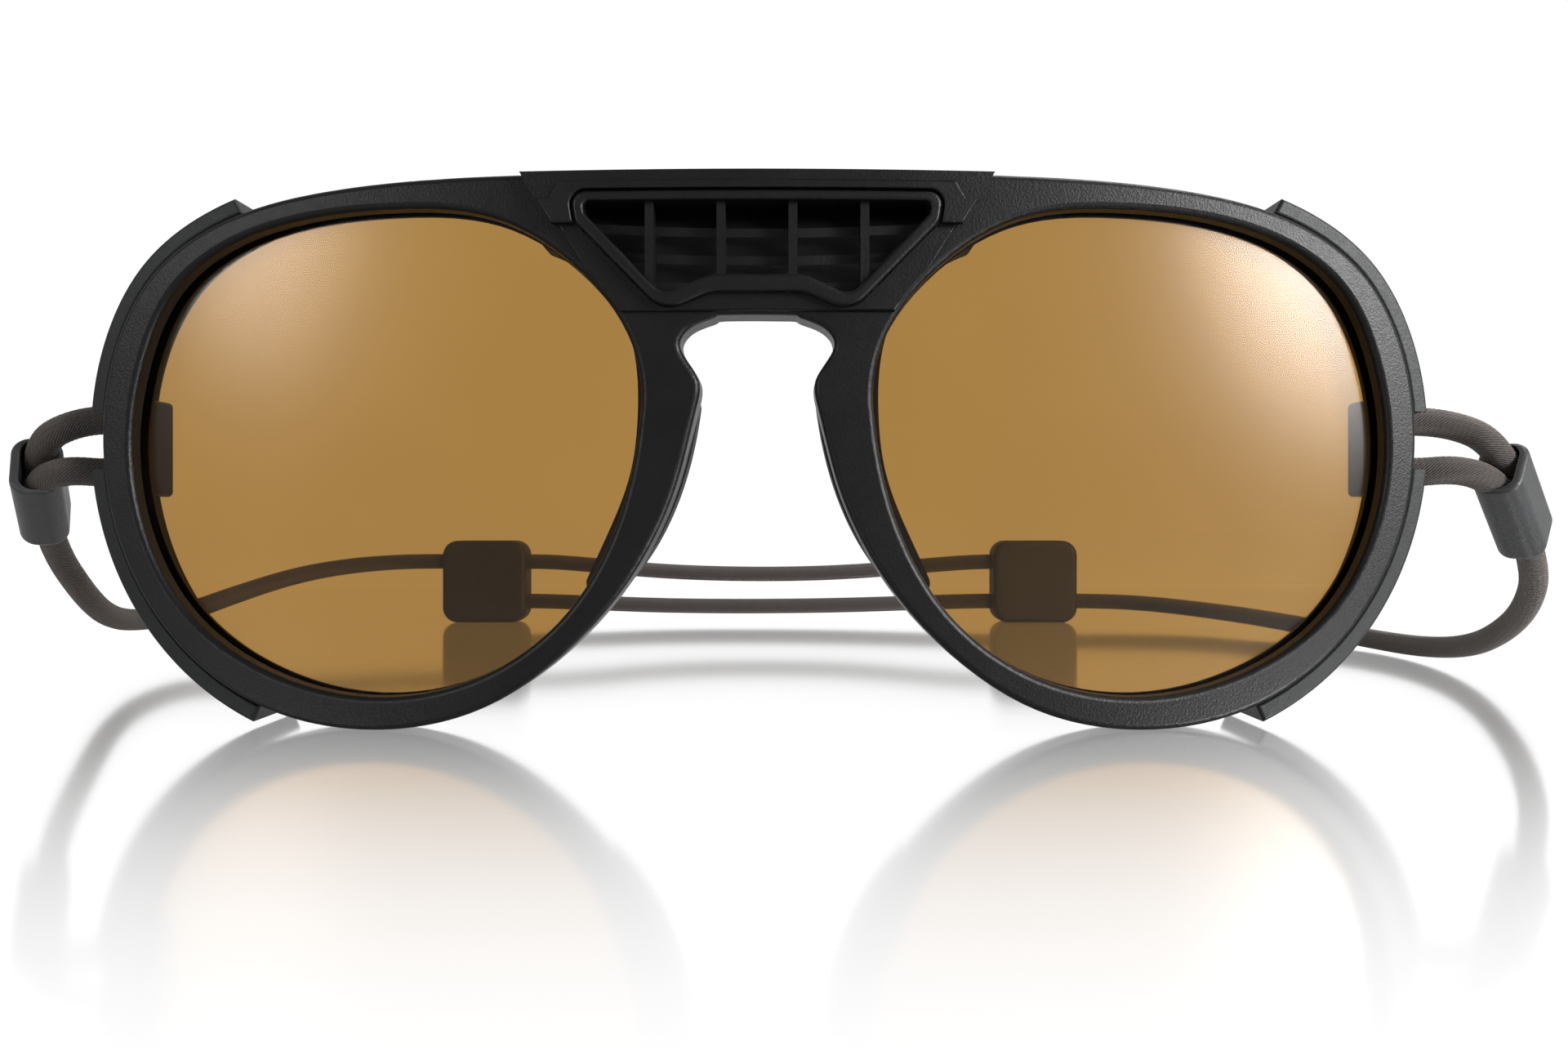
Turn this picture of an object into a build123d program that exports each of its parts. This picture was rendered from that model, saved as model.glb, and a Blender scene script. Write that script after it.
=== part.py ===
from build123d import *
import math
import os

# Glacier glasses: a vented, keyhole-bridged front with two round lenses, clip-on side shields and
# a braided cord in place of temple arms. Millimetres, +Z up. The front faces -Y and the wearer
# looks out along -Y, so +X is on the right of somebody who faces the glasses.
# The glasses stand upright on the rims, with the cord lying behind them.
# Everything is drawn with Y = 0 at the middle of the bridge's face, then moved to its final place.

# ---- driving dimensions ----
FRONT_HEIGHT = 56.65        # rim bottoms to brow top
WRAP_RADIUS = 280.0         # the front is bent round an upright cylinder
FRAME_DEPTH = 5.0           # rims, front to back
RIM_ROUNDING = 0.6
BACK_ROUNDING = 0.4
BOSS_ROUNDING = 0.2
COVER_ROUNDING = 0.2
RING_ROUNDING = 0.35
PAD_ROUNDING = 0.4
SHIELD_ROUNDING = 0.35
BOSS_PROUD = 0.5            # bridge boss in front of the rims
COVER_PROUD = 1.0           # brow cover in front of the rims
STEP_PROUD = 1.4            # raised step of the brow cover
RING_PROUD = 1.5            # vent ring

LENS_SET_BACK = 2.2
LENS_THICKNESS = 2.0
LENS_SEAT = 0.9             # how far the lens edge goes into its groove
SEAT_CLEARANCE = 0.05

VENT_HEIGHT = 49.0          # middle of the vent
VENT_ROOM = 60.0            # more than the vent's width
BAR_SPACING = 7.2           # four upright vent bars
BAR_WIDTH = 0.9
BAR_DEPTHS = (-0.6, 1.6)    # bars' fronts and backs, behind the rims' face
VENT_BACK = 4.4             # back of the ring and the louvres
LOUVRE_TILT = 50.0
LOUVRE_THICKNESS = 0.6
LOUVRE_LENGTH = 5.0         # down the slope
LOUVRE_MIDDLE = 3.0         # slats' middle, behind the bridge's face
LOUVRE_HEIGHTS = (44.0, 46.8, 49.6, 52.4)

PAD_DEPTH = 3.8             # nose pad, behind the frame

SHIELD_PROUD = 2.1          # shield's outer face, outside the rim
SHIELD_WALL = 1.5
SHIELD_FRONT = 1.0          # shield's front edge, behind the rim's face
SHIELD_BACK = 12.6
SHIELD_ANGLES = (59.5, -64.0)  # the shield's ends, seen from the middle of the lens opening
SHIELD_CLEARANCE = 0.25
SHIELD_GAP = (27.1, 33.4)   # gap in the shield's front band, lowest and highest
SHIELD_MIDDLE_X = 72.0      # the wall at the gap
SHIELD_CUT = 12.0           # cuts through the wall there, across it
WINDOW_FRONT = 2.9          # window for the loop, ahead of and behind the loop's plane
WINDOW_BACK = 2.3
WINDOW_SPARE = 1.4          # window, over the loop's height

CORD_DIAMETER = 3.2
CORD_CLEARANCE = 0.08
LOOP_Y = 16.4               # the loop's plane at the temple
LOOP_LOW = 26.6
LOOP_HIGH = 32.8
LOOP_INNER_X = 69.6         # the loop's turn, at the cord's middle
ANCHOR_X = 68.9
ANCHOR_WIDTH = 2.8
ANCHOR_DEPTH = 7.2
ANCHOR_HEIGHT = 10.8
ANCHOR_FORWARD = 0.8        # tab's middle, ahead of the loop's plane

BEAD_LENGTH = 12.7
BEAD_WIDTH = 5.2
BEAD_HEIGHT = 7.4
BEAD_CORNER = 2.0
BEAD_STRAND_SPACING = 3.25
CRIMP_START = 5.0           # ferrule inside the bead, from the mouth
CRIMP_LENGTH = 3.4
ENTRY_RUN = 2.0             # the strands' straight way into the bead, from their last corner
EXIT_RUN = 5.6              # the cord's straight way out of the bead, to the first corner

SLIDER_WIDTH = 18.0
SLIDER_HEIGHT = 17.6
SLIDER_DEPTH = 7.4
SLIDER_CORNER = 3.2
SLIDER_ROUNDING = 1.1
SLIDER_LEFT_X = -61.8
SLIDER_RIGHT_X = 56.8
STRAND_Y = 152.0
STRAND_LOW = 4.5
STRAND_HIGH = 13.1
STOP_RADIUS = 2.3           # pocket for the cord's end stop
STOP_LENGTH = 3.6
STOP_GAP = 0.2              # stop, clear of the pocket's floor

# The front's outline, right half, from the brow's middle round the rim to the nose arm's tip.
BROW_AND_RIM = [
    (0, 56.65), (24, 56.6), (44.6, 55.6), (55.9, 53.1), (64.4, 47.8), (69.0, 40.0), (70.55, 30.0),
    (68.7, 19.8), (62.8, 9.9), (52.5, 2.4), (40.0, 0.0), (28.0, 2.4), (19.2, 8.3),
    (12.3, 16.4), (8.3, 24.6), (6.2, 32.5),
]
# The rim's outer edge on the temple side, from the brow down.
RIM_SIDE = BROW_AND_RIM[2:11]
# The keyhole above the nose arm's tip, up to the middle of the bridge.
KEYHOLE = [
    (6.2, 32.5), (5.85, 35.6), (7.0, 37.6), (7.75, 39.4), (6.6, 41.0), (4.4, 41.9), (0, 42.25),
]
# The right lens opening, from the nose side up and round.
OPENING = [
    (11.75, 32.5), (13.4, 41.0), (17.7, 46.6), (26.5, 52.2), (37.5, 53.5), (48.2, 52.6),
    (56.2, 50.1), (61.7, 46.1), (65.8, 38.0), (67.05, 30.0), (65.75, 21.3), (60.4, 12.0),
    (51.5, 6.0), (40.0, 3.4), (28.5, 5.5), (19.1, 12.4), (14.1, 21.3),
]
OPENING_CENTRE = (39.4, 28.6)
# The bridge boss and the brow cover, right halves, from the brow's middle.
BOSS = [(0, 56.65), (22.6, 56.65), (19.6, 50.5), (14.6, 42.55), (0, 42.55)]
COVER = [(0, 56.6), (23.9, 56.58), (21.6, 52.5), (20.6, 51.3), (17.0, 51.3), (17.0, 53.0), (0, 53.0)]
COVER_STEP = [(0, 55.5), (19.9, 55.5), (20.9, 53.8), (22.2, 53.8), (20.6, 51.3), (17.0, 51.3), (0, 51.3)]
# The right nose pad's outline: beside the nose, its foot, beside the lens, its top, and back.
PAD_NOSE_SIDE = [(6.1, 33.5), (8.0, 25.0), (11.6, 17.6), (14.8, 13.8)]
PAD_FOOT = (16.7, 13.3)
PAD_LENS_SIDE = [
    (17.9, 15.4), (15.6, 20.4), (13.3, 26.6), (12.55, 32.6), (12.9, 39.0), (14.7, 44.0),
    (18.6, 48.1), (22.2, 50.0),
]
PAD_TOP = (22.7, 51.3)
PAD_RETURN = [(20.4, 51.3), (13.6, 46.6), (9.6, 41.0), (6.9, 36.4), (6.1, 33.5)]
# The vent ring's outer and inner corners, right halves, from the top: X, Z and rounding.
RING_OUTER = [(18.7, 54.4, 1.3), (18.2, 51.4, 1.4), (9.4, 42.4, 3.0), (4.6, 44.4, 4.0)]
RING_INNER = [(17.5, 53.45, 0.6), (17.2, 52.2, 0.7), (9.35, 43.9, 1.8), (4.8, 46.0, 4.0)]

# ---- cord routes, by hand: the runs between these points are joined by tangent arcs ----
LEFT_MOUTH = Vector(-81.6, 16.0, 27.9)
LEFT_TAIL = Vector(-86.5, 26.8, 21.1)
RIGHT_MOUTH = Vector(83.4, 16.0, 27.7)
RIGHT_TAIL = Vector(91.2, 23.8, 18.6)
LEFT_BOW = (-76.4, 16.1, 33.0)
RIGHT_BOW = (77.6, 16.1, 32.7)
LEFT_ROUTE = [
    (-89.8, 41.5, 11.6), (-92.8, 53.5, 7.9), (-95.8, 68.0, 6.4),
    (-97.2, 86.0, 6.3), (-96.8, 105.0, 8.4), (-93.6, 124.0, 11.0), (-88.6, 138.5, 12.4),
    (-81.8, 148.6, 13.0), (-74.6, 152.0, 13.1),
]
RIGHT_ROUTE = [
    (97.0, 34.0, 11.0), (99.4, 43.5, 7.0), (101.0, 55.0, 3.7),
    (101.8, 70.0, 2.1), (101.2, 88.0, 1.9), (98.4, 106.0, 2.5), (94.6, 121.0, 3.1),
    (88.8, 136.5, 3.6), (80.6, 147.8, 4.2), (70.2, 152.0, 4.5),
]

FRONT = Plane(origin=(0, 60, 0), x_dir=(1, 0, 0), z_dir=(0, -1, 0))
PRISM_LENGTH = 90.0


# ---- helpers ----
def both_sides(solid):
    """A piece of the right side, and its mirror image on the left."""
    return solid, mirror(solid, about=Plane.YZ)


def prism(face):
    """A flat outline in X and Z, carried front to back through the glasses."""
    return extrude(FRONT * face, PRISM_LENGTH)


def layer(front, back):
    """The bent slab between two depths behind the rims' face."""
    tall = 2 * FRONT_HEIGHT
    place = Pos(0, WRAP_RADIUS, FRONT_HEIGHT / 2)
    return place * (Cylinder(WRAP_RADIUS - front, tall) - Cylinder(WRAP_RADIUS - back, tall))


def half_outline(points):
    """A closed, mirror-symmetric outline of straight runs."""
    right = Polyline(*points)
    return make_face([right, mirror(right, about=Plane.YZ)])


def ring_outline(corners, grow=0.0):
    """A closed, mirror-symmetric outline with rounded corners, grown all round."""
    left = [(-x, z, r) for x, z, r in reversed(corners)]
    loop = corners + left
    spots = [(x, z) for x, z, r in loop]
    face = make_face(FilletPolyline(*spots, radius=[r for x, z, r in loop], close=True))
    return offset(face, grow) if grow else face


def front_outline():
    rim = Spline(*BROW_AND_RIM, tangents=[(1, 0), (-0.25, 1)])
    keyhole = Spline(*KEYHOLE, tangents=[(-0.25, 1), (-1, 0)])
    edges = [rim, keyhole]
    return make_face(edges + [mirror(e, about=Plane.YZ) for e in edges])


def opening(grow=0.0):
    """The right lens opening, grown all round."""
    return make_face(Spline(*grown(OPENING, grow), periodic=True))


def grown(points, distance):
    """Points moved straight away from the middle of the lens opening."""
    centre = Vector(*OPENING_CENTRE)
    return [Vector(x, z) + (Vector(x, z) - centre).normalized() * distance for x, z in points]


def rim_band(inside, outside):
    """The strip beside the temple half of the rim, between two distances outside it."""
    inner = Spline(*grown(RIM_SIDE, inside))
    outer = Spline(*grown(RIM_SIDE, outside))
    band = make_face([inner, Line(inner @ 1, outer @ 1), outer, Line(outer @ 0, inner @ 0)])
    centre = Vector(*OPENING_CENTRE)
    rays = [centre + Vector(80, 0).rotate(Axis.Z, angle) for angle in SHIELD_ANGLES]
    far = [(150, 90), (150, -40)]
    sector = make_face(Polyline(centre, rays[0], *far, rays[1], close=True))
    return band & sector


def tube(points, radius, name):
    """A cord's tube: straight runs joined by the largest tangent arcs that fit."""
    spots = [Vector(*p) for p in points]
    radii = []
    for before, here, after in zip(spots, spots[1:], spots[2:]):
        turn = (here - before).get_angle(after - here)
        shorter = min((here - before).length, (after - here).length)
        radii.append(0.45 * shorter / math.tan(math.radians(turn) / 2))
    path = FilletPolyline(*spots, radius=radii) if radii else Line(*spots)
    start = Plane(origin=path @ 0, z_dir=path % 0)
    solid = sweep(start * Circle(radius), path=path)
    ideal = math.pi * radius**2 * path.length
    print(f"{name}: length {path.length:.1f}, volume {solid.volume / ideal:.4f} of section x length")
    print(f"  radii {[round(r, 1) for r in radii]}")
    return solid


# ---- the front ----
def edges_at(solid, depth):
    """The edges that lie on the bent surface at a depth behind the rims' face."""
    radius = WRAP_RADIUS - depth

    def lies_on_it(edge):
        spots = [edge @ t for t in (0.1, 0.5, 0.9)]
        return all(abs(math.hypot(p.X, p.Y - WRAP_RADIUS) - radius) < 0.01 for p in spots)

    return solid.edges().filter_by(lies_on_it)


def softened(solid, depth, radius):
    """The solid with its edges at a depth behind the rims' face rounded."""
    return fillet(edges_at(solid, depth), radius)


def build_front_frame():
    body = prism(front_outline()) & layer(0, FRAME_DEPTH)
    for hole in both_sides(prism(opening())):
        body -= hole
    body = softened(body, 0, RIM_ROUNDING)
    body = softened(body, FRAME_DEPTH, BACK_ROUNDING)
    boss = prism(half_outline(BOSS)) & layer(-BOSS_PROUD, 0.5)
    for hole in both_sides(prism(opening(0.4))):
        boss -= hole
    boss = boss & prism(front_outline())
    body += softened(boss, -BOSS_PROUD, BOSS_ROUNDING)
    vent = prism(ring_outline(RING_OUTER, 0.1))
    body -= vent
    groove = prism(opening(LENS_SEAT)) & layer(
        LENS_SET_BACK - SEAT_CLEARANCE, LENS_SET_BACK + LENS_THICKNESS + SEAT_CLEARANCE
    )
    for cut in both_sides(groove):
        body -= cut
    return body


def build_lens():
    return prism(opening(LENS_SEAT - SEAT_CLEARANCE)) & layer(
        LENS_SET_BACK, LENS_SET_BACK + LENS_THICKNESS
    )


def build_brow_cover():
    """Trapezoid plate with a raised step, notched round the vent ring."""
    clear_of_ring = prism(ring_outline(RING_OUTER, 0.25))
    plate = prism(half_outline(COVER)) & layer(-COVER_PROUD, -BOSS_PROUD)
    step = prism(half_outline(COVER_STEP)) & layer(-STEP_PROUD, -BOSS_PROUD)
    inside = prism(front_outline()) - clear_of_ring
    return softened((plate + step) & inside, -STEP_PROUD, COVER_ROUNDING)


def build_vent_ring():
    ring = prism(ring_outline(RING_OUTER) - ring_outline(RING_INNER))
    return softened(ring & layer(-RING_PROUD, VENT_BACK), -RING_PROUD, RING_ROUNDING)


def build_vent_grille():
    """Four upright bars inside the ring."""
    inside = prism(ring_outline(RING_INNER)) & layer(*BAR_DEPTHS)
    bars = []
    for step in (-1.5, -0.5, 0.5, 1.5):
        slab = Pos(step * BAR_SPACING, 0, VENT_HEIGHT) * Box(BAR_WIDTH, 20, 20)
        bars += (inside & slab).solids()
    return Compound(children=bars)


def build_vent_louvres():
    """Sloping slats across the ring, which let air through and keep glare out."""
    inside = prism(ring_outline(RING_INNER)) & layer(BAR_DEPTHS[1], VENT_BACK)
    slats = []
    for height in LOUVRE_HEIGHTS:
        place = Pos(0, LOUVRE_MIDDLE, height) * Rot(LOUVRE_TILT, 0, 0)
        slat = place * Box(VENT_ROOM, LOUVRE_LENGTH, LOUVRE_THICKNESS)
        slats += (inside & slat).solids()
    return Compound(children=slats)


def nose_pad():
    """Right nose pad: a flange on the frame's back along the nasal side of the rim."""
    edges = [
        Spline(*PAD_NOSE_SIDE),
        ThreePointArc(PAD_NOSE_SIDE[-1], PAD_FOOT, PAD_LENS_SIDE[0]),
        Spline(*PAD_LENS_SIDE),
        ThreePointArc(PAD_LENS_SIDE[-1], PAD_TOP, PAD_RETURN[0]),
        Spline(*PAD_RETURN),
    ]
    back = FRAME_DEPTH + PAD_DEPTH
    return softened(prism(make_face(edges)) & layer(FRAME_DEPTH, back), back, PAD_ROUNDING)


def side_shield():
    """Right shield: a wall that hugs the rim's outer edge and runs back beside the eye."""
    wall = prism(rim_band(SHIELD_CLEARANCE, SHIELD_PROUD)) & layer(SHIELD_FRONT, SHIELD_BACK)
    wall = softened(softened(wall, SHIELD_FRONT, SHIELD_ROUNDING), SHIELD_BACK, SHIELD_ROUNDING)
    low, high = SHIELD_GAP
    window_front = LOOP_Y - WINDOW_FRONT
    window_depth = WINDOW_FRONT + WINDOW_BACK
    window_height = LOOP_HIGH - LOOP_LOW + CORD_DIAMETER + WINDOW_SPARE
    gap = Pos(SHIELD_MIDDLE_X, 0, (low + high) / 2) * Box(SHIELD_CUT, 2 * window_front + 1, high - low)
    window = Pos(SHIELD_MIDDLE_X, window_front + window_depth / 2, (LOOP_LOW + LOOP_HIGH) / 2)
    return wall - gap - window * Box(SHIELD_CUT, window_depth, window_height)


def cord_anchor(loop, side):
    """Temple tab behind the rim, with the channel that the cord loop turns in."""
    middle = Pos(side * ANCHOR_X, LOOP_Y - ANCHOR_FORWARD, (LOOP_LOW + LOOP_HIGH) / 2)
    block = Box(ANCHOR_WIDTH, ANCHOR_DEPTH, ANCHOR_HEIGHT)
    block = middle * fillet(block.edges().filter_by(Axis.Y), 0.6)
    behind_rim = Pos(0, WRAP_RADIUS, FRONT_HEIGHT / 2) * Cylinder(WRAP_RADIUS - FRAME_DEPTH, FRONT_HEIGHT)
    block &= behind_rim
    return block - loop


def bead_frame(mouth, tail):
    """The bead's own plane: at the mouth, Z towards the tail, Y up along the pair of strands."""
    axis = (tail - mouth).normalized()
    across = axis.cross(Vector(0, 0, 1)).normalized()
    return Plane(origin=mouth, x_dir=across, z_dir=axis)


def build_bead(place):
    """Moulded bead: two strands go in at the mouth, the single cord comes out at the tail."""
    body = extrude(RectangleRounded(BEAD_WIDTH, BEAD_HEIGHT, BEAD_CORNER), BEAD_LENGTH)
    body = fillet(body.faces().sort_by(Axis.Z)[-1].edges(), 0.9)
    body = fillet(body.faces().sort_by(Axis.Z)[0].edges(), 0.5)
    bore = CORD_DIAMETER / 2 + CORD_CLEARANCE
    oval = SlotCenterToCenter(BEAD_STRAND_SPACING, 2 * bore, rotation=90)
    mouth = extrude(oval, CRIMP_START + CRIMP_LENGTH)
    tail = Cylinder(bore, 2 * BEAD_LENGTH)
    return place * (body - mouth - tail)


def build_crimp(place):
    """Oval metal ferrule that holds both strands and the cord together inside the bead."""
    oval = SlotCenterToCenter(BEAD_STRAND_SPACING, CORD_DIAMETER + 0.1, rotation=90)
    return place * Pos(0, 0, CRIMP_START) * extrude(oval, CRIMP_LENGTH)


def strand_point(place, side, along):
    """A point on one strand's middle line in the bead's mouth; along is measured into the bead."""
    spot = place * Pos(0, side * BEAD_STRAND_SPACING / 2, along)
    return spot.position


def loop_route(place, side, bow):
    """Bead, lower strand, turn at the temple, upper strand over its bow, bead."""
    up = 1 if place.y_dir.Z > 0 else -1
    return [
        strand_point(place, -up, CRIMP_START),
        strand_point(place, -up, -ENTRY_RUN),
        Vector(side * LOOP_INNER_X, LOOP_Y, LOOP_LOW),
        Vector(side * LOOP_INNER_X, LOOP_Y, LOOP_HIGH),
        Vector(*bow),
        strand_point(place, up, -ENTRY_RUN),
        strand_point(place, up, CRIMP_START),
    ]


def build_slider(centre_x, inner_side, through_z, fixed_z):
    """Rear adjuster: one cord slides through it, the other ends in it against a crimped stop."""
    block = extrude(RectangleRounded(SLIDER_WIDTH, SLIDER_HEIGHT, SLIDER_CORNER), SLIDER_DEPTH)
    front_and_back = block.edges().group_by(Axis.Z)
    block = fillet(front_and_back[0] + front_and_back[-1], SLIDER_ROUNDING)
    place = Plane(origin=(0, STRAND_Y + SLIDER_DEPTH / 2, 0), x_dir=(1, 0, 0), z_dir=(0, -1, 0))
    block = place * Pos(centre_x, SLIDER_HEIGHT / 2, 0) * block
    bore = CORD_DIAMETER / 2 + CORD_CLEARANCE
    along_x = Rot(0, 90, 0)
    for z in (through_z, fixed_z):
        block -= Pos(centre_x, STRAND_Y, z) * along_x * Cylinder(bore, 2 * SLIDER_WIDTH)
    pocket_x = centre_x - inner_side * (SLIDER_WIDTH / 2 - STOP_LENGTH / 2)
    block -= Pos(pocket_x, STRAND_Y, fixed_z) * along_x * Cylinder(STOP_RADIUS, STOP_LENGTH)
    return block


def build_end_stop(centre_x, inner_side, fixed_z):
    """Crimped stop on the cord's end, in the slider's outer pocket."""
    x = centre_x - inner_side * (SLIDER_WIDTH / 2 - STOP_LENGTH / 2)
    stop = Cylinder(STOP_RADIUS - CORD_CLEARANCE, STOP_LENGTH - 2 * STOP_GAP)
    stop = fillet(stop.edges(), 0.3)
    return Pos(x, STRAND_Y, fixed_z) * Rot(0, 90, 0) * stop


# ---- build ----
left_bead = bead_frame(LEFT_MOUTH, LEFT_TAIL)
right_bead = bead_frame(RIGHT_MOUTH, RIGHT_TAIL)
left_loop = loop_route(left_bead, -1, LEFT_BOW)
right_loop = loop_route(right_bead, 1, RIGHT_BOW)
crimp_end = CRIMP_START + CRIMP_LENGTH
left_inner = SLIDER_LEFT_X + SLIDER_WIDTH / 2
right_inner = SLIDER_RIGHT_X - SLIDER_WIDTH / 2
left_stop_face = SLIDER_LEFT_X - SLIDER_WIDTH / 2 + STOP_LENGTH - STOP_GAP
right_stop_face = SLIDER_RIGHT_X + SLIDER_WIDTH / 2 - STOP_LENGTH + STOP_GAP

cord = CORD_DIAMETER / 2
pieces = {}
pieces["front_frame"] = build_front_frame()
pieces["lens_right"], pieces["lens_left"] = both_sides(build_lens())
pieces["brow_cover"] = build_brow_cover()
pieces["vent_ring"] = build_vent_ring()
pieces["vent_grille"] = build_vent_grille()
pieces["vent_louvres"] = build_vent_louvres()
pieces["nose_pad_right"], pieces["nose_pad_left"] = both_sides(nose_pad())
pieces["side_shield_right"], pieces["side_shield_left"] = both_sides(side_shield())

channel = cord + CORD_CLEARANCE
pieces["cord_anchor_right"] = cord_anchor(tube(right_loop, channel, "right channel"), 1)
pieces["cord_anchor_left"] = cord_anchor(tube(left_loop, channel, "left channel"), -1)
pieces["cord_loop_left"] = tube(left_loop, cord, "cord_loop_left")
pieces["cord_loop_right"] = tube(right_loop, cord, "cord_loop_right")
pieces["bead_left"] = build_bead(left_bead)
pieces["bead_right"] = build_bead(right_bead)
pieces["loop_crimp_left"] = build_crimp(left_bead)
pieces["loop_crimp_right"] = build_crimp(right_bead)

left_start = [(left_bead * Pos(0, 0, z)).position for z in (crimp_end, BEAD_LENGTH + EXIT_RUN)]
right_start = [(right_bead * Pos(0, 0, z)).position for z in (crimp_end, BEAD_LENGTH + EXIT_RUN)]
left_path = [*left_start, *LEFT_ROUTE, (left_inner, STRAND_Y, STRAND_HIGH)]
right_path = [*right_start, *RIGHT_ROUTE, (right_inner, STRAND_Y, STRAND_LOW)]
pieces["cord_left"] = tube(left_path, cord, "cord_left")
pieces["cord_right"] = tube(right_path, cord, "cord_right")
upper = [(left_inner, STRAND_Y, STRAND_HIGH), (right_stop_face, STRAND_Y, STRAND_HIGH)]
lower = [(right_inner, STRAND_Y, STRAND_LOW), (left_stop_face, STRAND_Y, STRAND_LOW)]
pieces["cord_left_tail"] = tube(upper, cord, "cord_left_tail")
pieces["cord_right_tail"] = tube(lower, cord, "cord_right_tail")
pieces["slider_left"] = build_slider(SLIDER_LEFT_X, 1, STRAND_HIGH, STRAND_LOW)
pieces["slider_right"] = build_slider(SLIDER_RIGHT_X, -1, STRAND_LOW, STRAND_HIGH)
pieces["cord_end_stop_left"] = build_end_stop(SLIDER_LEFT_X, 1, STRAND_LOW)
pieces["cord_end_stop_right"] = build_end_stop(SLIDER_RIGHT_X, -1, STRAND_HIGH)

ON_THE_CORD = ("cord_loop", "cord_left", "cord_right", "bead", "loop_crimp", "slider", "cord_end")
body_box = Compound([p for n, p in pieces.items() if not n.startswith(ON_THE_CORD)]).bounding_box()
shift = -(body_box.min.Y + body_box.max.Y) / 2
print(f"depth shift {shift:.4f}, box {body_box}")

os.makedirs("parts", exist_ok=True)
for name, piece in pieces.items():
    solids = piece.solids()
    volume = sum(s.volume for s in solids)
    print(f"{name}: {len(solids)} solids, volume {volume:.1f}, valid {piece.is_valid}")
    export_step(Pos(0, shift, 0) * piece, f"parts/{name}.step")
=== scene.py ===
import math

import bmesh
import bpy
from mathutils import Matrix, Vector


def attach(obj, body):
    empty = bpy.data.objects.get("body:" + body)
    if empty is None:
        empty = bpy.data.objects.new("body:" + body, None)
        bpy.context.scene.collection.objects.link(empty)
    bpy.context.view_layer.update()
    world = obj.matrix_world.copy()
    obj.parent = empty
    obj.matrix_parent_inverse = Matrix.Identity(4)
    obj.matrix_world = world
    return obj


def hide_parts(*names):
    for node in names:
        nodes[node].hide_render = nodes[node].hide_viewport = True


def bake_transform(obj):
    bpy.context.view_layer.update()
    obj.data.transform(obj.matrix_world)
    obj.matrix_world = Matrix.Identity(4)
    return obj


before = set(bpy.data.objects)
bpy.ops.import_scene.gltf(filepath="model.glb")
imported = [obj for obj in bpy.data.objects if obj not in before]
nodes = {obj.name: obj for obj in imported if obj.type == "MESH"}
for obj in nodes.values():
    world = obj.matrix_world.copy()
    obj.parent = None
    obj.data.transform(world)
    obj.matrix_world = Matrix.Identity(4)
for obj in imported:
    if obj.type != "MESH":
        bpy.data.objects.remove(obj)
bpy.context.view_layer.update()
scene = bpy.context.scene
scene.view_settings.view_transform = "Standard"

# ---- camera: level, close, just off the middle ----
camera_data = bpy.data.cameras.new("camera")
camera_data.lens = 29.74
camera_data.sensor_width = 36.0
camera_data.clip_start = 0.005
camera = bpy.data.objects.new("camera", camera_data)
camera.location = (0.0027, -0.14052, 0.0212)
camera.rotation_euler = (math.radians(90), 0, 0)
scene.collection.objects.link(camera)
scene.camera = camera

# ---- cord sizes and routes, in metres ----
TURN = 2 * math.pi
CORD_RADIUS = 0.0016
YARNS = 8               # yarns of the plait that wind each way round
PLAIT_HEIGHT = 0.00003  # from the plait's valleys to its crowns
RIBS = 30               # fine ribs round the cover
RIB_SLANT = 0.85        # how far the ribs lean along the cord, 1 is 45 degrees
RING_STEP = 0.00028     # between the tube's rings of corners
RING_SIDES = 40
LEFT_LOOP = [
    (-0.0831, 0.0087, 0.0240), (-0.0805, 0.0032, 0.0275), (-0.0696, 0.0059, 0.0266),
    (-0.0696, 0.0059, 0.0328), (-0.0764, 0.0056, 0.0330), (-0.0812, 0.0046, 0.0303),
    (-0.0837, 0.0102, 0.0268),
]
RIGHT_LOOP = [
    (0.0854, 0.0075, 0.0233), (0.0816, 0.0037, 0.0277), (0.0696, 0.0059, 0.0266),
    (0.0696, 0.0059, 0.0328), (0.0776, 0.0056, 0.0327), (0.0830, 0.0051, 0.0302),
    (0.0869, 0.0089, 0.0258),
]
LEFT_CORD = [
    (-0.0846, 0.0121, 0.0237), (-0.0882, 0.0199, 0.0188), (-0.0898, 0.0310, 0.0116),
    (-0.0928, 0.0430, 0.0079), (-0.0958, 0.0575, 0.0064), (-0.0972, 0.0755, 0.0063),
    (-0.0968, 0.0945, 0.0084), (-0.0936, 0.1135, 0.0110), (-0.0886, 0.1280, 0.0124),
    (-0.0818, 0.1381, 0.0130), (-0.0746, 0.1415, 0.0131), (-0.0528, 0.1415, 0.0131),
    (-0.0440, 0.1415, 0.0128), (-0.0190, 0.1413, 0.0104), (0.0130, 0.1412, 0.0103),
    (0.0400, 0.1415, 0.0128), (0.0500, 0.1415, 0.0131), (0.0624, 0.1415, 0.0131),
]
RIGHT_CORD = [
    (0.0880, 0.0101, 0.0224), (0.0934, 0.0155, 0.0161), (0.0970, 0.0235, 0.0110),
    (0.0994, 0.0330, 0.0070), (0.1010, 0.0445, 0.0037), (0.1018, 0.0595, 0.0021),
    (0.1012, 0.0775, 0.0019), (0.0984, 0.0955, 0.0025), (0.0946, 0.1105, 0.0031),
    (0.0888, 0.1260, 0.0036), (0.0806, 0.1373, 0.0042), (0.0702, 0.1415, 0.0045),
    (0.0478, 0.1415, 0.0045), (0.0380, 0.1415, 0.0043), (0.0120, 0.1412, 0.0034),
    (-0.0200, 0.1413, 0.0033), (-0.0450, 0.1415, 0.0043), (-0.0540, 0.1415, 0.0045),
    (-0.0674, 0.1415, 0.0045),
]


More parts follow.
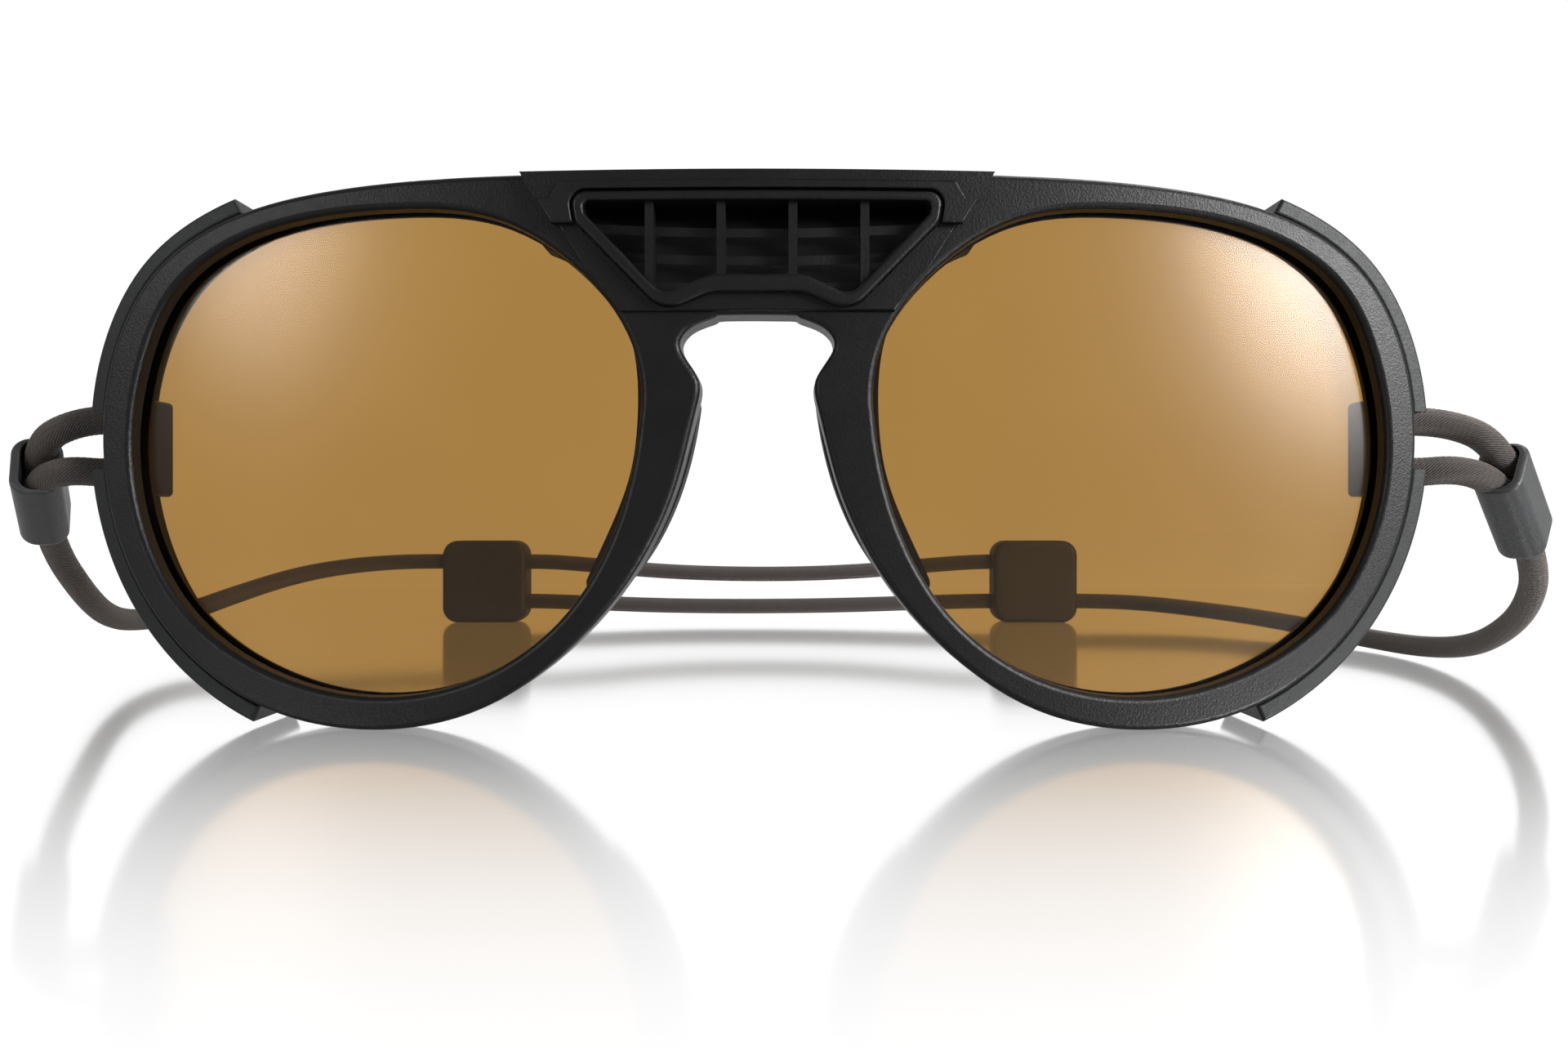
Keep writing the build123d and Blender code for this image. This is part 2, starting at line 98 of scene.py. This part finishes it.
# ---- node helpers ----
def fade(tree, source, start, end, low, high, kind="SMOOTHSTEP"):
    """A soft step from low to high, as the source goes from start to end."""
    node = tree.nodes.new("ShaderNodeMapRange")
    node.interpolation_type = kind
    for name, value in (("From Min", start), ("From Max", end), ("To Min", low), ("To Max", high)):
        node.inputs[name].default_value = value
    tree.links.new(source, node.inputs["Value"])
    return node.outputs["Result"]


class Nodes:
    """Short ways to add and join the nodes of one material."""

    def __init__(self, name):
        self.material = bpy.data.materials.new(name)
        self.material.use_nodes = True
        self.tree = self.material.node_tree
        self.shader = self.tree.nodes["Principled BSDF"]
        self.coordinate = self.tree.nodes.new("ShaderNodeTexCoord")

    def set(self, **values):
        for name, value in values.items():
            self.shader.inputs[name.replace("_", " ")].default_value = value

    def link(self, out, into):
        self.tree.links.new(out, into)

    def noise(self, scale, detail=3.0, rough=0.55):
        node = self.tree.nodes.new("ShaderNodeTexNoise")
        node.inputs["Scale"].default_value = scale
        node.inputs["Detail"].default_value = detail
        node.inputs["Roughness"].default_value = rough
        self.link(self.coordinate.outputs["Object"], node.inputs["Vector"])
        return node.outputs["Fac"]

    def grains(self, scale):
        node = self.tree.nodes.new("ShaderNodeTexVoronoi")
        node.inputs["Scale"].default_value = scale
        self.link(self.coordinate.outputs["Object"], node.inputs["Vector"])
        return node.outputs["Distance"]

    def math(self, kind, a, b=None, c=None):
        node = self.tree.nodes.new("ShaderNodeMath")
        node.operation = kind
        for i, value in enumerate((a, b, c)):
            if value is None:
                continue
            if isinstance(value, (int, float)):
                node.inputs[i].default_value = value
            else:
                self.link(value, node.inputs[i])
        return node.outputs[0]

    def ramp(self, factor, stops):
        node = self.tree.nodes.new("ShaderNodeValToRGB")
        while len(node.color_ramp.elements) < len(stops):
            node.color_ramp.elements.new(0.5)
        for element, (place, colour) in zip(node.color_ramp.elements, stops):
            element.position = place
            element.color = (*colour, 1.0)
        self.link(factor, node.inputs["Fac"])
        return node.outputs["Color"]

    def spread(self, factor, low, high):
        node = self.tree.nodes.new("ShaderNodeMapRange")
        node.inputs["To Min"].default_value = low
        node.inputs["To Max"].default_value = high
        self.link(factor, node.inputs["Value"])
        return node.outputs["Result"]

    def bump(self, heights):
        """Bumps one on another, each a height, its distance in metres and its strength."""
        normal = None
        for height, distance, strength in heights:
            node = self.tree.nodes.new("ShaderNodeBump")
            node.inputs["Distance"].default_value = distance
            node.inputs["Strength"].default_value = strength
            self.link(height, node.inputs["Height"])
            if normal is not None:
                self.link(normal, node.inputs["Normal"])
            normal = node.outputs["Normal"]
        self.link(normal, self.shader.inputs["Normal"])


GRAIN_DEPTH = 0.00003


def moulded(name, dark, light, roughness, grain, specular):
    """Fine-grained moulded plastic or rubber, with uneven colour and gloss."""
    m = Nodes(name)
    blotch = m.noise(140.0, 4.0)
    fine = m.noise(grain, 2.0, 0.6)
    speck = m.grains(grain * 0.55)
    mixed = m.math("ADD", m.math("MULTIPLY", blotch, 0.6), m.math("MULTIPLY", fine, 0.4))
    m.link(m.ramp(mixed, [(0.3, dark), (0.7, light)]), m.shader.inputs["Base Color"])
    m.link(m.spread(m.noise(900.0, 3.0), *roughness), m.shader.inputs["Roughness"])
    m.bump([(blotch, 0.00004, 0.15), (speck, GRAIN_DEPTH, 0.5), (fine, GRAIN_DEPTH, 0.6)])
    m.set(Specular_IOR_Level=specular)
    return m.material


# Each: darkest colour, lightest colour, lowest and highest roughness, fineness of the grain, specular level.
frame_black = moulded(
    "frame_nylon_black", (0.0010, 0.0010, 0.0011), (0.0028, 0.0028, 0.0029), (0.33, 0.44), 7000.0, 0.11,
)
vent_black = moulded(
    "vent_nylon_black", (0.0010, 0.0010, 0.0010), (0.0028, 0.0028, 0.0029), (0.33, 0.44), 7000.0, 0.12,
)
louvre_black = moulded(
    "louvre_nylon_black", (0.0007, 0.0007, 0.0007), (0.0018, 0.0018, 0.0018), (0.45, 0.60), 7000.0, 0.12,
)
shield_black = moulded(
    "shield_rubber_black", (0.0020, 0.0024, 0.0024), (0.0046, 0.0054, 0.0054), (0.44, 0.56), 5200.0, 0.14,
)
pad_black = moulded(
    "nose_pad_rubber", (0.0030, 0.0027, 0.0025), (0.0065, 0.0058, 0.0055), (0.60, 0.75), 4200.0, 0.15,
)
bead_grey = moulded(
    "bead_nylon_grey", (0.008, 0.0085, 0.009), (0.0145, 0.015, 0.0155), (0.40, 0.52), 6000.0, 0.22,
)
slider_black = moulded(
    "adjuster_nylon_black", (0.0055, 0.0050, 0.0045), (0.0110, 0.0100, 0.0090), (0.45, 0.60), 6000.0, 0.2,
)


def metal():
    """Satin aluminium with fine scratches."""
    m = Nodes("ferrule_aluminium")
    scratch = m.noise(2600.0, 5.0)
    greys = [(0.3, (0.42, 0.42, 0.43)), (0.7, (0.62, 0.62, 0.63))]
    m.link(m.ramp(scratch, greys), m.shader.inputs["Base Color"])
    m.link(m.spread(scratch, 0.28, 0.45), m.shader.inputs["Roughness"])
    m.bump([(scratch, 0.00001, 0.4)])
    m.set(Metallic=1.0)
    return m.material


def bronze():
    """Bronze lens: tinted right through, with a weak soft mirror coat."""
    m = Nodes("lens_bronze")
    drift = m.noise(26.0, 2.0)
    tints = [(0.35, (0.358, 0.199, 0.050)), (0.65, (0.381, 0.217, 0.057))]
    m.link(m.ramp(drift, tints), m.shader.inputs["Base Color"])
    smear = m.noise(60.0, 4.0)
    m.link(m.spread(smear, 0.02, 0.05), m.shader.inputs["Roughness"])
    m.set(Transmission_Weight=1.0, IOR=1.1, Coat_Weight=0.28, Coat_Roughness=0.22, Coat_IOR=1.5)
    m.shader.inputs["Coat Tint"].default_value = (1.0, 0.95, 0.86, 1.0)
    return m.material


lens_bronze = bronze()
ferrule = metal()


def braid(name):
    """Woven cover of a round cord: fine slanted ribs over plaited yarns. U runs round it, V along."""
    m = Nodes(name)
    split = m.tree.nodes.new("ShaderNodeSeparateXYZ")
    m.link(m.coordinate.outputs["UV"], split.inputs[0])
    around, along = split.outputs[0], split.outputs[1]
    slanted = m.math("ADD", around, m.math("MULTIPLY", along, RIB_SLANT))
    rib = m.math("MULTIPLY_ADD", m.math("SINE", m.math("MULTIPLY", slanted, TURN * RIBS)), 0.5, 0.5)
    right = m.math("SINE", m.math("MULTIPLY", m.math("ADD", around, along), TURN * YARNS))
    left = m.math("SINE", m.math("MULTIPLY", m.math("SUBTRACT", around, along), TURN * YARNS))
    plait = m.math("MULTIPLY_ADD", m.math("MULTIPLY", right, left), 0.5, 0.5)
    fuzz = m.noise(5200.0, 4.0, 0.7)
    shade = m.math("ADD", m.math("MULTIPLY", rib, 0.45), m.math("MULTIPLY", fuzz, 0.55))
    colours = [(0.25, (0.003, 0.0022, 0.002)), (0.5, (0.010, 0.0074, 0.0063)), (0.8, (0.032, 0.024, 0.021))]
    m.link(m.ramp(shade, colours), m.shader.inputs["Base Color"])
    m.link(m.spread(fuzz, 0.62, 0.85), m.shader.inputs["Roughness"])
    m.bump([(plait, 0.00006, 0.6), (rib, 0.00010, 1.0), (fuzz, 0.00004, 0.7)])
    m.set(Sheen_Weight=0.12, Sheen_Roughness=0.4, Specular_IOR_Level=0.3)
    m.shader.inputs["Sheen Tint"].default_value = (0.85, 0.70, 0.60, 1.0)
    return m.material


cord_cover = braid("braided_cord_cover")


# ---- cords ----
def smooth_line(points):
    """A NURBS spline with the route's points as its control points, read back as a line."""
    curve = bpy.data.curves.new("route", "CURVE")
    curve.dimensions = "3D"
    spline = curve.splines.new("NURBS")
    spline.points.add(len(points) - 1)
    for control, point in zip(spline.points, points):
        control.co = (*point, 1.0)
    spline.order_u = 3
    spline.use_endpoint_u = True
    spline.resolution_u = 24
    carrier = bpy.data.objects.new("route", curve)
    mesh = bpy.data.meshes.new_from_object(carrier)
    line = [v.co.copy() for v in mesh.vertices]
    bpy.data.objects.remove(carrier)
    bpy.data.meshes.remove(mesh)
    return line


def length_of(line):
    return sum((b - a).length for a, b in zip(line, line[1:]))


def even_steps(line, step):
    """The same line with points an even distance apart."""
    total = length_of(line)
    count = max(2, round(total / step))
    spots, walked, i = [line[0].copy()], 0.0, 0
    for n in range(1, count):
        target = total * n / count
        while walked + (line[i + 1] - line[i]).length < target:
            walked += (line[i + 1] - line[i]).length
            i += 1
        run = line[i + 1] - line[i]
        spots.append(line[i] + run * ((target - walked) / run.length))
    spots.append(line[-1].copy())
    return spots


def braided(name, points):
    """A closed tube along a smooth route, with its plait worked into the surface."""
    spots = even_steps(smooth_line(points), RING_STEP)
    bm = bmesh.new()
    layer = bm.loops.layers.uv.new("UVMap")
    tangent = (spots[1] - spots[0]).normalized()
    across = tangent.orthogonal().normalized()
    rings, walked, places = [], 0.0, []
    for i, spot in enumerate(spots):
        ahead = spots[min(i + 1, len(spots) - 1)] - spots[max(i - 1, 0)]
        turned = ahead.normalized()
        across = (tangent.rotation_difference(turned) @ across).normalized()
        tangent = turned
        up = tangent.cross(across)
        if i:
            walked += (spot - spots[i - 1]).length
        v = walked / (TURN * CORD_RADIUS)
        ring = []
        for k in range(RING_SIDES):
            u = k / RING_SIDES
            plait = math.sin(TURN * YARNS * (u + v)) * math.sin(TURN * YARNS * (u - v))
            radius = CORD_RADIUS + PLAIT_HEIGHT * (plait - 0.5)
            angle = TURN * u
            ring.append(bm.verts.new(spot + (across * math.cos(angle) + up * math.sin(angle)) * radius))
        rings.append(ring)
        places.append(v)
    for i in range(len(rings) - 1):
        for k in range(RING_SIDES):
            n = (k + 1) % RING_SIDES
            face = bm.faces.new((rings[i][k], rings[i][n], rings[i + 1][n], rings[i + 1][k]))
            face.smooth = True
            edge = [(k, places[i]), (k + 1, places[i]), (k + 1, places[i + 1]), (k, places[i + 1])]
            for loop, (side, v) in zip(face.loops, edge):
                loop[layer].uv = (side / RING_SIDES, v)
    bm.faces.new(list(reversed(rings[0])))
    bm.faces.new(rings[-1])
    mesh = bpy.data.meshes.new(name)
    bm.to_mesh(mesh)
    bm.free()
    mesh.materials.append(cord_cover)
    piece = bpy.data.objects.new(name, mesh)
    scene.collection.objects.link(piece)
    return piece, spots, length_of(spots)


for side, route in (("left", LEFT_LOOP), ("right", RIGHT_LOOP)):
    loop, spots, length = braided(f"braided_loop_{side}", route)
    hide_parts(f"cord_loop_{side}")
    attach(loop, "root")

for side, other, route, stop in (
    ("left", "right", LEFT_CORD, nodes["cord_end_stop_right"]),
    ("right", "left", RIGHT_CORD, nodes["cord_end_stop_left"]),
):
    cord, spots, length = braided(f"braided_cord_{side}", route)
    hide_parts(f"cord_{side}", f"cord_{side}_tail")
    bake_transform(cord)


# ---- CAD pieces with their finish ----
def finish_node(name, material):
    mesh = nodes[name].data
    mesh.materials.clear()
    mesh.materials.append(material)
    for face in mesh.polygons:
        face.material_index = 0


FINISHES = {
    "front_frame": frame_black,
    "brow_cover": vent_black,
    "vent_ring": vent_black,
    "vent_grille": vent_black,
    "vent_louvres": louvre_black,
    "lens_left": lens_bronze,
    "lens_right": lens_bronze,
    "nose_pad_left": pad_black,
    "nose_pad_right": pad_black,
    "side_shield_left": shield_black,
    "side_shield_right": shield_black,
    "cord_anchor_left": frame_black,
    "cord_anchor_right": frame_black,
    "bead_left": bead_grey,
    "bead_right": bead_grey,
    "slider_left": slider_black,
    "slider_right": slider_black,
    "loop_crimp_left": ferrule,
    "loop_crimp_right": ferrule,
    "cord_end_stop_left": ferrule,
    "cord_end_stop_right": ferrule,
}
for node_name, finish in FINISHES.items():
    finish_node(node_name, finish)


# ---- floor, surroundings and light ----
FLOOR_HALF = 6.0
FLOOR_DROP = 0.00002  # keeps the floor clear of the faces that stand on it


def build_floor():
    """White floor, glossy round the glasses and matte further out."""
    mesh = bpy.data.meshes.new("floor")
    corners = [(-1, -1), (1, -1), (1, 1), (-1, 1)]
    mesh.from_pydata([(x * FLOOR_HALF, y * FLOOR_HALF, 0) for x, y in corners], [], [(0, 1, 2, 3)])
    floor = bpy.data.objects.new("floor", mesh)
    floor.location = (0, 0, -FLOOR_DROP)
    scene.collection.objects.link(floor)
    m = Nodes("floor_white_gloss")
    m.set(Roughness=1.0, Specular_IOR_Level=0.0, Emission_Strength=1.0)
    m.set(Base_Color=(0.03, 0.03, 0.03, 1), Emission_Color=(1, 1, 1, 1))
    split = m.tree.nodes.new("ShaderNodeSeparateXYZ")
    m.link(m.coordinate.outputs["Object"], split.inputs[0])
    across, back = split.outputs[0], split.outputs[1]
    # The floor's share of gloss grows from in front up to the glasses, and fades out behind and beside them.
    near = fade(m.tree, back, -0.105, 0.004, 0.03, 0.76)
    far = fade(m.tree, back, 0.18, 0.36, 1.0, 0.0)
    aside = fade(m.tree, m.math("ABSOLUTE", across), 0.13, 0.32, 1.0, 0.0)
    gloss = m.tree.nodes.new("ShaderNodeBsdfGlossy")
    gloss.inputs["Roughness"].default_value = 0.10
    gloss.inputs["Color"].default_value = (0.97, 0.97, 0.97, 1)
    mix = m.tree.nodes.new("ShaderNodeMixShader")
    m.link(m.math("MULTIPLY", m.math("MULTIPLY", near, far), aside), mix.inputs["Fac"])
    m.link(m.shader.outputs["BSDF"], mix.inputs[1])
    m.link(gloss.outputs["BSDF"], mix.inputs[2])
    m.link(mix.outputs["Shader"], m.tree.nodes["Material Output"].inputs["Surface"])
    mesh.materials.append(m.material)


def build_world():
    """White behind the glasses, where the backdrop is, and a little dimmer in front."""
    world = bpy.data.worlds.new("studio")
    scene.world = world
    world.use_nodes = True
    tree = world.node_tree
    background = tree.nodes["Background"]
    place = tree.nodes.new("ShaderNodeTexCoord")
    split = tree.nodes.new("ShaderNodeSeparateXYZ")
    ramp = tree.nodes.new("ShaderNodeValToRGB")
    shift = tree.nodes.new("ShaderNodeMath")
    shift.operation = "MULTIPLY_ADD"
    shift.inputs[1].default_value = 0.5
    shift.inputs[2].default_value = 0.5
    tree.links.new(place.outputs["Generated"], split.inputs[0])
    tree.links.new(split.outputs[1], shift.inputs[0])
    tree.links.new(shift.outputs[0], ramp.inputs["Fac"])
    for element, (position, grey) in zip(ramp.color_ramp.elements, ((0.50, 0.60), (0.80, 1.0))):
        element.position = position
        element.color = (grey, grey, grey, 1)
    tree.links.new(ramp.outputs["Color"], background.inputs["Color"])
    background.inputs["Strength"].default_value = 1.03


def softbox(name, place, target, size, power):
    """An area light, brightest in its middle, that fades towards its edge."""
    data = bpy.data.lights.new(name, "AREA")
    data.shape = "RECTANGLE"
    data.size, data.size_y = size
    data.energy = power
    data.use_nodes = True
    tree = data.node_tree
    place_on_it = tree.nodes.new("ShaderNodeNewGeometry")
    from_middle = tree.nodes.new("ShaderNodeVectorMath")
    from_middle.operation = "DISTANCE"
    from_middle.inputs[1].default_value = (0.5, 0.5, 0.0)
    tree.links.new(place_on_it.outputs["Parametric"], from_middle.inputs[0])
    strength = fade(tree, from_middle.outputs["Value"], 0.0, 0.5, 2.6, 0.0, "SMOOTHERSTEP")
    tree.links.new(strength, tree.nodes["Emission"].inputs["Strength"])
    lamp = bpy.data.objects.new(name, data)
    lamp.location = place
    aim = Vector(target) - Vector(place)
    lamp.rotation_euler = aim.to_track_quat("-Z", "Y").to_euler()
    scene.collection.objects.link(lamp)


build_floor()
build_world()
softbox("key_right", (0.395, -0.28, 0.185), (0.03, 0, 0.03), (0.34, 0.34), 14.0)
softbox("glow_left", (-0.40, -0.36, 0.18), (-0.03, 0, 0.04), (0.26, 0.26), 2.3)
softbox("top", (0.22, 0.10, 0.50), (0, 0.02, 0), (0.5, 0.4), 3.0)
